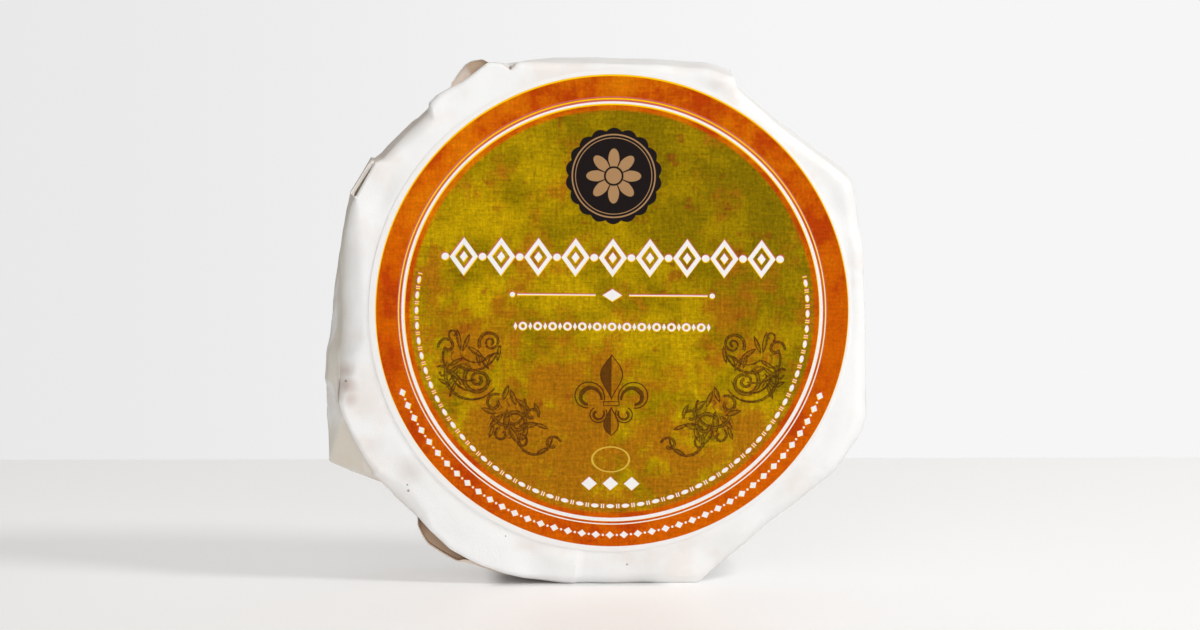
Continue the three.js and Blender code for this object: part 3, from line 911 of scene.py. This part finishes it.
def bareShapes(look):
    # everything that is left white inside and outside the print
    tree, given, result = newGroup("bareShapes", {"Point": None}, ["Mask"])
    x, y, _ = partsOf(given["Point"])
    r = vectorCalc("LENGTH", given["Point"])
    bearing = calc("DEGREES", calc("ARCTAN2", y, x))
    fromBottom = abs(wave(bearing + 90.0, 360.0))
    masks = [remap(r, look["round"] - 0.08, look["round"] + 0.08)]
    for radius, half in (look["ring"], look["hairline"]):
        masks.append(inside(abs(r - radius) - half))

    def onArc(arc):
        # place along and across an arc's repeat, and 1 as far as the arc runs
        along = wave(bearing, arc["pitch"]) * (arc["radius"] * np.pi / 180)
        return along, r - arc["radius"], calc("LESS_THAN", fromBottom, arc["runs"])

    def onRow(row):
        # place along and above a row's repeat, and 1 as far as the row runs
        return wave(x, row["pitch"]), y - row["height"], remap(abs(x), row["half"] + 0.1, row["half"] - 0.1)

    # bead and reel along the edge of the field
    arc = look["beadArc"]
    along, across, within = onArc(arc)
    beads = inside(length2(along / arc["stretch"], across) - arc["bead"])
    reels = inside(boxDistance(abs(along) - arc["reelAt"], across, arc["reel"]))
    masks.append(largest(beads, reels) * within)

    # lozenges and dots in the orange band
    arc = look["bandArc"]
    along, across, within = onArc(arc)
    diamonds = inside(lozenge(along, across, arc["lozenge"]), 0.12)
    gap = abs(along) - arc["radius"] * np.pi / 180 * arc["pitch"] / 2
    dots = inside(length2(gap, across) - arc["dot"])
    masks.append(largest(diamonds, dots) * within)

    # large lozenges, each an outline with a heart in it, and studs between
    row = look["lozengeRow"]
    dx, dy, within = onRow(row)
    shape = lozenge(dx, dy, row["lozenge"])
    outline = inside(abs(shape + 0.2) - 0.2, 0.03)
    heart = inside(shape + 0.7, 0.03)
    studs = inside(length2(abs(dx) - row["pitch"] / 2, dy) - row["stud"])
    masks.append(largest(outline, heart, studs) * within)

    # rule in two halves with a lozenge between and a dot at each end
    rule = look["rule"]
    dy = y - rule["height"]
    middle, half = (rule["from"] + rule["to"]) / 2, (rule["to"] - rule["from"]) / 2
    masks.append(inside(boxDistance(abs(x) - middle, dy, (half, rule["half"]))))
    masks.append(inside(lozenge(x, dy, rule["lozenge"]), 0.06))
    masks.append(inside(length2(abs(x) - rule["endAt"], dy) - rule["end"]))

    # beads with an eye, and small lozenges between
    row = look["beadRow"]
    dx, dy, within = onRow(row)
    away = length2(dx, dy)
    beads = inside(away - row["bead"]) * inside(row["eye"] - away)
    small = inside(lozenge(abs(dx) - row["pitch"] / 2, dy, row["lozenge"]), 0.12)
    masks.append(largest(beads, small) * within)

    # three small lozenges under the oval
    row = look["threeLozenges"]
    dx, dy, within = onRow(row)
    masks.append(inside(lozenge(dx, dy, row["lozenge"]), 0.08) * within)
    fill(result["Mask"], largest(*masks))
    return tree


whiteGroup = bareShapes(printLook)
print("print shapes done")


def engraved(shape, light, dark):
    # darkness of an engraved shape: full along its outline, dark on its inner half, light on its outer half
    outline = remap(shape["Edge"], -0.36, -0.22)
    return largest(outline, remap(shape["Side"], 0.12, -0.12, light, dark)) * shape["Fill"]


def mirrored(point):
    # the same point with x made positive
    x, y, _ = partsOf(point)
    return joined(abs(x), y)


def addStrokes(total, point, strokes, light, dark):
    # each mark joins the total as it is made, which keeps the shader's working memory small
    for cx, cy, start, sweep, turnWay, r0, r1, w0, w1 in strokes:
        shape = useGroup(strokeGroup, point, Centre=(cx, cy, 0), Start=start, Sweep=sweep, Turn=turnWay,
                         Radius=r0, RadiusEnd=r1, Width=w0, WidthEnd=w1)
        total = largest(total, engraved(shape, light, dark))
    return total


def scrollMask(point):
    folded = mirrored(point)
    total = addStrokes(0.0, folded, scrollStrokes, 0.5, 0.9)
    for cx, cy, angle, halfLength, halfWidth in scrollLeaves:
        shape = useGroup(leafGroup, folded, Centre=(cx, cy, 0), Angle=angle, Length=halfLength,
                         Width=halfWidth)
        total = largest(total, engraved(shape, 0.2, 0.75))
    # fine curled lines between them: level lines of a soft noise, kept to the tufts
    lines = remap(abs(wave(noise(folded, 0.3, 1.0) * 5.0, 1.0)), 0.2, 0.08, 0.0, 0.62)
    near = 0.0
    for cx, cy, radius in scrollTufts:
        near = largest(near, remap(vectorCalc("DISTANCE", folded, (cx, cy, 0)), radius, 0.6 * radius))
    return largest(total, lines * near)


def lilyMask(point):
    x, y, _ = partsOf(point)
    total = addStrokes(0.0, mirrored(point), lilyStrokes, 0.12, 0.9)
    for foot, tall, halfWidth, lean in lilySpears:
        shape = useGroup(spearGroup, point, Foot=foot, Length=tall, Width=halfWidth, Lean=lean)
        total = largest(total, engraved(shape, 0.08, 0.9))
    height, halfX, halfY = lilyBand
    edge = boxDistance(x, y - height, (halfX, halfY))
    bandArea = inside(edge)
    bandLine = bandArea * remap(edge, -0.28, -0.14, 0.1, 1.0)
    # the band lies over the other shapes
    return largest(bandLine, total * (1.0 - bandArea))


def printPoint(place, look):
    # place on the print: x to the right and y up, in mm
    middle = ((axisX + look["middle"][0]) * mm, 0.0, (axisZ + look["middle"][1]) * mm)
    across, _, up = partsOf(vectorCalc("SUBTRACT", place, middle))
    return turned(joined(across * 1000.0, up * 1000.0), -np.radians(look["turn"]))


def mottledInk(point, speckle, look):
    # field and orange band. The field has olive and gold clouds, darker to the upper right and browner low
    # down, small rust blots, a canvas thread both ways and fine speckle. The band has deeper blots and less
    # thread.
    x, y, _ = partsOf(point)
    r = vectorCalc("LENGTH", point)
    clouds = noise(point, 0.085, 5.0, 0.62)
    blots = noise(vectorCalc("ADD", point, (31.0, 17.0, 5.0)), 0.11, 5.0, 0.68)
    rusts = noise(vectorCalc("ADD", point, (-60.0, 44.0, 9.0)), 0.26, 3.0, 0.55)
    cornerShade = remap(x * 0.55 + y * 0.6, 0.0, 30.0)
    goldShare = remap(clouds, 0.36, 0.62) - cornerShade * 0.55
    field = mixColour(largest(goldShare, 0.0), look["olive"], look["gold"])
    lower = remap(y, 26.0, -34.0, 0.0, 0.14)
    field = mixColour(remap(blots + lower, 0.5, 0.68, 0.0, 0.9), field, look["ochre"])
    field = mixColour(remap(rusts + cornerShade * 0.05, 0.64, 0.74, 0.0, 0.6), field, look["rust"])
    upright = noise(vectorCalc("MULTIPLY", point, (2.0, 0.22, 1.0)), 1.0, 2.0, 0.6)
    level = noise(vectorCalc("MULTIPLY", point, (0.22, 2.0, 1.0)), 1.0, 2.0, 0.6)
    thread = upright * 0.5 + level * 0.5
    faint, strong = look["threadContrast"]
    shade = remap(thread, 0.3, 0.7, faint, strong, soft=False)
    shade = shade * remap(speckle, 0.25, 0.75, faint, strong, soft=False)
    shade = shade * remap(cornerShade, 0.0, 1.0, 1.04, 0.88, soft=False)

    mottle = noise(vectorCalc("ADD", point, (11.0, -23.0, 3.0)), 0.09, 5.0, 0.65)
    band = mixColour(remap(mottle, 0.36, 0.52), look["orangeDeep"], look["orange"])
    lighter = mottle + remap(y, -20.0, 45.0, -0.1, 0.06)
    band = mixColour(remap(lighter, 0.46, 0.72), band, look["orangeLight"])
    ink = mixColour(remap(r, look["field"] - 0.45, look["field"] + 0.35), field, band)
    plainer = (shade - 1.0) * 0.55 + 0.97
    onBand = calc("GREATER_THAN", r, look["field"])
    return scaled(ink, remap(onBand, 0.0, 1.0, shade, plainer, soft=False))


def darkSeal(x, y, look):
    # mask and colour of a scalloped round with two rings and a rosette on it
    seal = look["seal"]
    dy = y - seal["height"]
    r = length2(x, dy)
    turn = calc("ARCTAN2", dy, x)
    lobe = abs(calc("SINE", turn * (seal["scallops"] / 2)))
    mask = inside(r - (lobe * seal["scallop"] + (seal["radius"] - seal["scallop"])))
    rings = largest(*[remap(abs(r - radius), outer, inner) for radius, outer, inner in seal["rings"]])
    petal = abs(calc("COSINE", turn * (seal["petals"] / 2)))
    petalFoot, petalLength = seal["petal"]
    bloom = inside(r - (petal * petalLength + petalFoot)) * remap(petal, 0.12, 0.3)
    eyeLine = remap(abs(r - (seal["eye"] - 0.1)), 0.14, 0.28)
    bloom = largest(bloom, inside(r - seal["eye"])) * eyeLine
    return mask, mixColour(largest(rings, bloom), look["black"], look["tan"])


def labelMaterial(look):
    material, tree, shader = newMaterial("printedPaper")
    place = objectPlace(tree)
    point = printPoint(place, look)
    x, y, _ = partsOf(point)
    speckle = noise(point, 1.5, 2.0, 0.7)
    ink = mottledInk(point, speckle, look)

    # two plates: yellow sits a little off the other inks, so bare shapes get a yellow and a pink edge
    shrink, shift = look["yellowShrink"], look["yellowShift"]
    yellowPoint = vectorCalc("MULTIPLY_ADD", point, (shrink, shrink, 1.0), (shift[0], shift[1], 0.0))
    bare = useGroup(whiteGroup, point)["Mask"]
    bareYellow = useGroup(whiteGroup, yellowPoint)["Mask"]
    edgeYellow = mixColour(bareYellow, look["yellowOnly"], look["paper"])
    edgePink = mixColour(bareYellow, ink, look["pinkOnly"])
    printed = mixColour(bare, edgePink, edgeYellow)

    # small oval line in gold
    height, halfX, halfY = look["oval"]
    fromOval = abs(length2(x / halfX, (y - height) / halfY) - 1.0)
    printed = mixColour(remap(fromOval, 0.075, 0.03, 0.0, 0.8), printed, look["ovalLine"])

    # scrolls and lily engraved in brown, and the seal over all
    worn = remap(speckle, 0.35, 0.65, 0.94, 0.7)
    printed = mixColour(scrollMask(point) * worn, printed, look["brown"])
    printed = mixColour(lilyMask(point) * 0.92, printed, look["brown"])
    sealMask, sealColour = darkSeal(x, y, look)
    fill(shader["Base Color"], mixColour(sealMask, printed, sealColour))

    grain = useGroup(grainGroup, place, Fibre=0.25, Cockle=0.5)
    rough = look["roughness"]
    fill(shader["Roughness"], remap(grain["Tone"], 0.3, 0.7, rough - 0.05, rough + 0.08))
    shader["Specular IOR Level"].default_value = look["specular"]
    fill(shader["Normal"], bumpFrom(grain["Height"], 0.2, 0.0004))
    return material


labelPiece.data.materials.append(labelMaterial(printLook))
print("label material done")

# stage: pale table, plain backdrop, soft lights and the camera, in metres
stageSettings = {
    "tableSide": 3.0,
    "tableBack": 0.21,
    "tableTone": colour(218, 218, 218),
    "tableRoughness": 0.38,
    "tableGlow": 0.27,
    # painted contact shadow where the glow stops short under the wheel: x of its middle, half sizes,
    # soft edge, what is left
    "paintedContactShadow": {"middle": -0.007, "half": (0.015, 0.013), "edge": 0.006, "left": (0.05, 0.05, 0.05, 1)},
    "backdrop": (4.0, 1.6, -2.0, 3.0),      # half width, y, lowest and highest
    # backdrop and air from left to right: x between which they change, tones seen, light given off
    "backdropSeen": (-0.35, 0.2, colour(233, 233, 233), colour(246, 246, 246)),
    "backdropCast": (-1.0, 0.4, (0.22, 0.19, 0.16, 1), (0.7, 0.7, 0.7, 1)),
    "airSeen": colour(240, 240, 240),
    "airCast": (-0.8, 0.6, (0.24, 0.21, 0.18, 1), (0.15, 0.15, 0.15, 1)),
    # lights aimed at the wheel's middle: name, place, size, watts, tone
    "lights": [
        ("keyStrip", (0.85, -0.40, 0.9), (0.3, 0.12), 7.6, (1.0, 0.99, 0.97)),
        ("frontFill", (0.1, -1.5, 0.45), (1.6, 1.0), 9.9, (1.0, 1.0, 1.0)),
        ("topSoftbox", (0.05, -0.1, 1.3), (1.4, 1.4), 4.5, (1.0, 1.0, 1.0)),
    ],
    "azimuth": -1.0,
    "elevation": 5.0,
    "distance": 0.9,
    "sensor": 36.0,
    "image": (1200, 630),
    "pixelsPerMetre": 4640.0,      # at the label
    "labelAt": (610.0, 312.2),     # pixel of the label's middle
}


def stagePlane(name, corners, tone, roughness, glow):
    # flat plane with its corners given, and its material's tree and shader inputs
    mesh = bpy.data.meshes.new(name)
    mesh.from_pydata(corners, [], [tuple(range(len(corners)))])
    plane = bpy.data.objects.new(name, mesh)
    bpy.context.scene.collection.objects.link(plane)
    material, tree, shader = newMaterial(name + "Look")
    shader["Base Color"].default_value = tone
    shader["Roughness"].default_value = roughness
    shader["Emission Strength"].default_value = glow
    mesh.materials.append(material)
    return tree, shader


def areaLight(name, place, size, watts, tone, target):
    light = bpy.data.lights.new(name, "AREA")
    light.shape = "RECTANGLE"
    light.size, light.size_y = size
    light.energy = watts
    light.color = tone
    lamp = bpy.data.objects.new(name, light)
    lamp.location = place
    lamp.rotation_euler = (target - Vector(place)).to_track_quat("-Z", "Y").to_euler()
    bpy.context.scene.collection.objects.link(lamp)


def acrossTone(x, settings):
    # tone that changes from left to right
    start, end, first, second = settings
    return mixColour(remap(x, start, end), first, second)


def cameraRay(tree):
    return Wire(newNode("LightPath", tree=tree).outputs["Is Camera Ray"])


def buildTable(s):
    side, back = s["tableSide"], s["tableBack"]
    corners = [(-side, -side, 0), (side, -side, 0), (side, back, 0), (-side, back, 0)]
    tree, shader = stagePlane("table", corners, s["tableTone"], s["tableRoughness"], s["tableGlow"])
    x, y, _ = partsOf(objectPlace(tree))
    # the floor glows evenly except under the wheel, where the glow drops as a painted contact shadow
    under = s["paintedContactShadow"]
    away = boxDistance(x - under["middle"], y, under["half"])
    glow = mixColour(remap(away, 0.0, under["edge"]), under["left"], (1.0, 1.0, 1.0, 1))
    fill(shader["Emission Color"], glow)


def buildBackdrop(s):
    side, away, low, high = s["backdrop"]
    corners = [(-side, away, low), (side, away, low), (side, away, high), (-side, away, high)]
    tree, shader = stagePlane("backdrop", corners, (0.0, 0.0, 0.0, 1), 1.0, 1.0)
    x, _, _ = partsOf(objectPlace(tree))
    seen = acrossTone(x, s["backdropSeen"])
    cast = acrossTone(x, s["backdropCast"])
    fill(shader["Emission Color"], mixColour(cameraRay(tree), cast, seen))
    shader["Specular IOR Level"].default_value = 0.0


def buildAir(s):
    world = bpy.data.worlds.new("studio")
    bpy.context.scene.world = world
    world.use_nodes = True
    tree = world.node_tree
    x, _, _ = partsOf(Wire(newNode("TexCoord", tree=tree).outputs["Generated"]))
    cast = acrossTone(x, s["airCast"])
    fill(tree.nodes["Background"].inputs["Color"], mixColour(cameraRay(tree), cast, s["airSeen"]))


def buildCamera(s):
    # looks at the wheel from the azimuth and elevation, aimed so that the label's middle falls on its pixel
    turn, tilt = np.radians(s["azimuth"]), np.radians(s["elevation"])
    toCamera = Vector((np.sin(turn) * np.cos(tilt), -np.cos(turn) * np.cos(tilt), np.sin(tilt)))
    right = Vector((np.cos(turn), np.sin(turn), 0))
    up = right.cross(-toCamera)
    width, height = s["image"]
    scale = s["pixelsPerMetre"]
    aim = Vector((axisX * mm, faceY * mm, axisZ * mm))
    aim -= right * ((s["labelAt"][0] - width / 2) / scale)
    aim += up * ((s["labelAt"][1] - height / 2) / scale)
    lens = bpy.data.cameras.new("camera")
    lens.sensor_width = s["sensor"]
    lens.lens = s["sensor"] * scale * s["distance"] / width
    camera = bpy.data.objects.new("camera", lens)
    camera.location = aim + toCamera * s["distance"]
    camera.rotation_euler = (-toCamera).to_track_quat("-Z", "Y").to_euler()
    bpy.context.scene.collection.objects.link(camera)
    bpy.context.scene.camera = camera


buildTable(stageSettings)
buildBackdrop(stageSettings)
for name, place, size, watts, tone in stageSettings["lights"]:
    areaLight(name, place, size, watts, tone, Vector((0, 0, axisZ * mm)))
buildAir(stageSettings)
buildCamera(stageSettings)
bpy.context.scene.view_settings.view_transform = "Standard"
print("stage done")

for piece, node, slot in ((wrapPiece, "wrapped_wheel", "wrap_paper"), (labelPiece, "label", "printed_label")):
    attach(piece, "root")
    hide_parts(node)
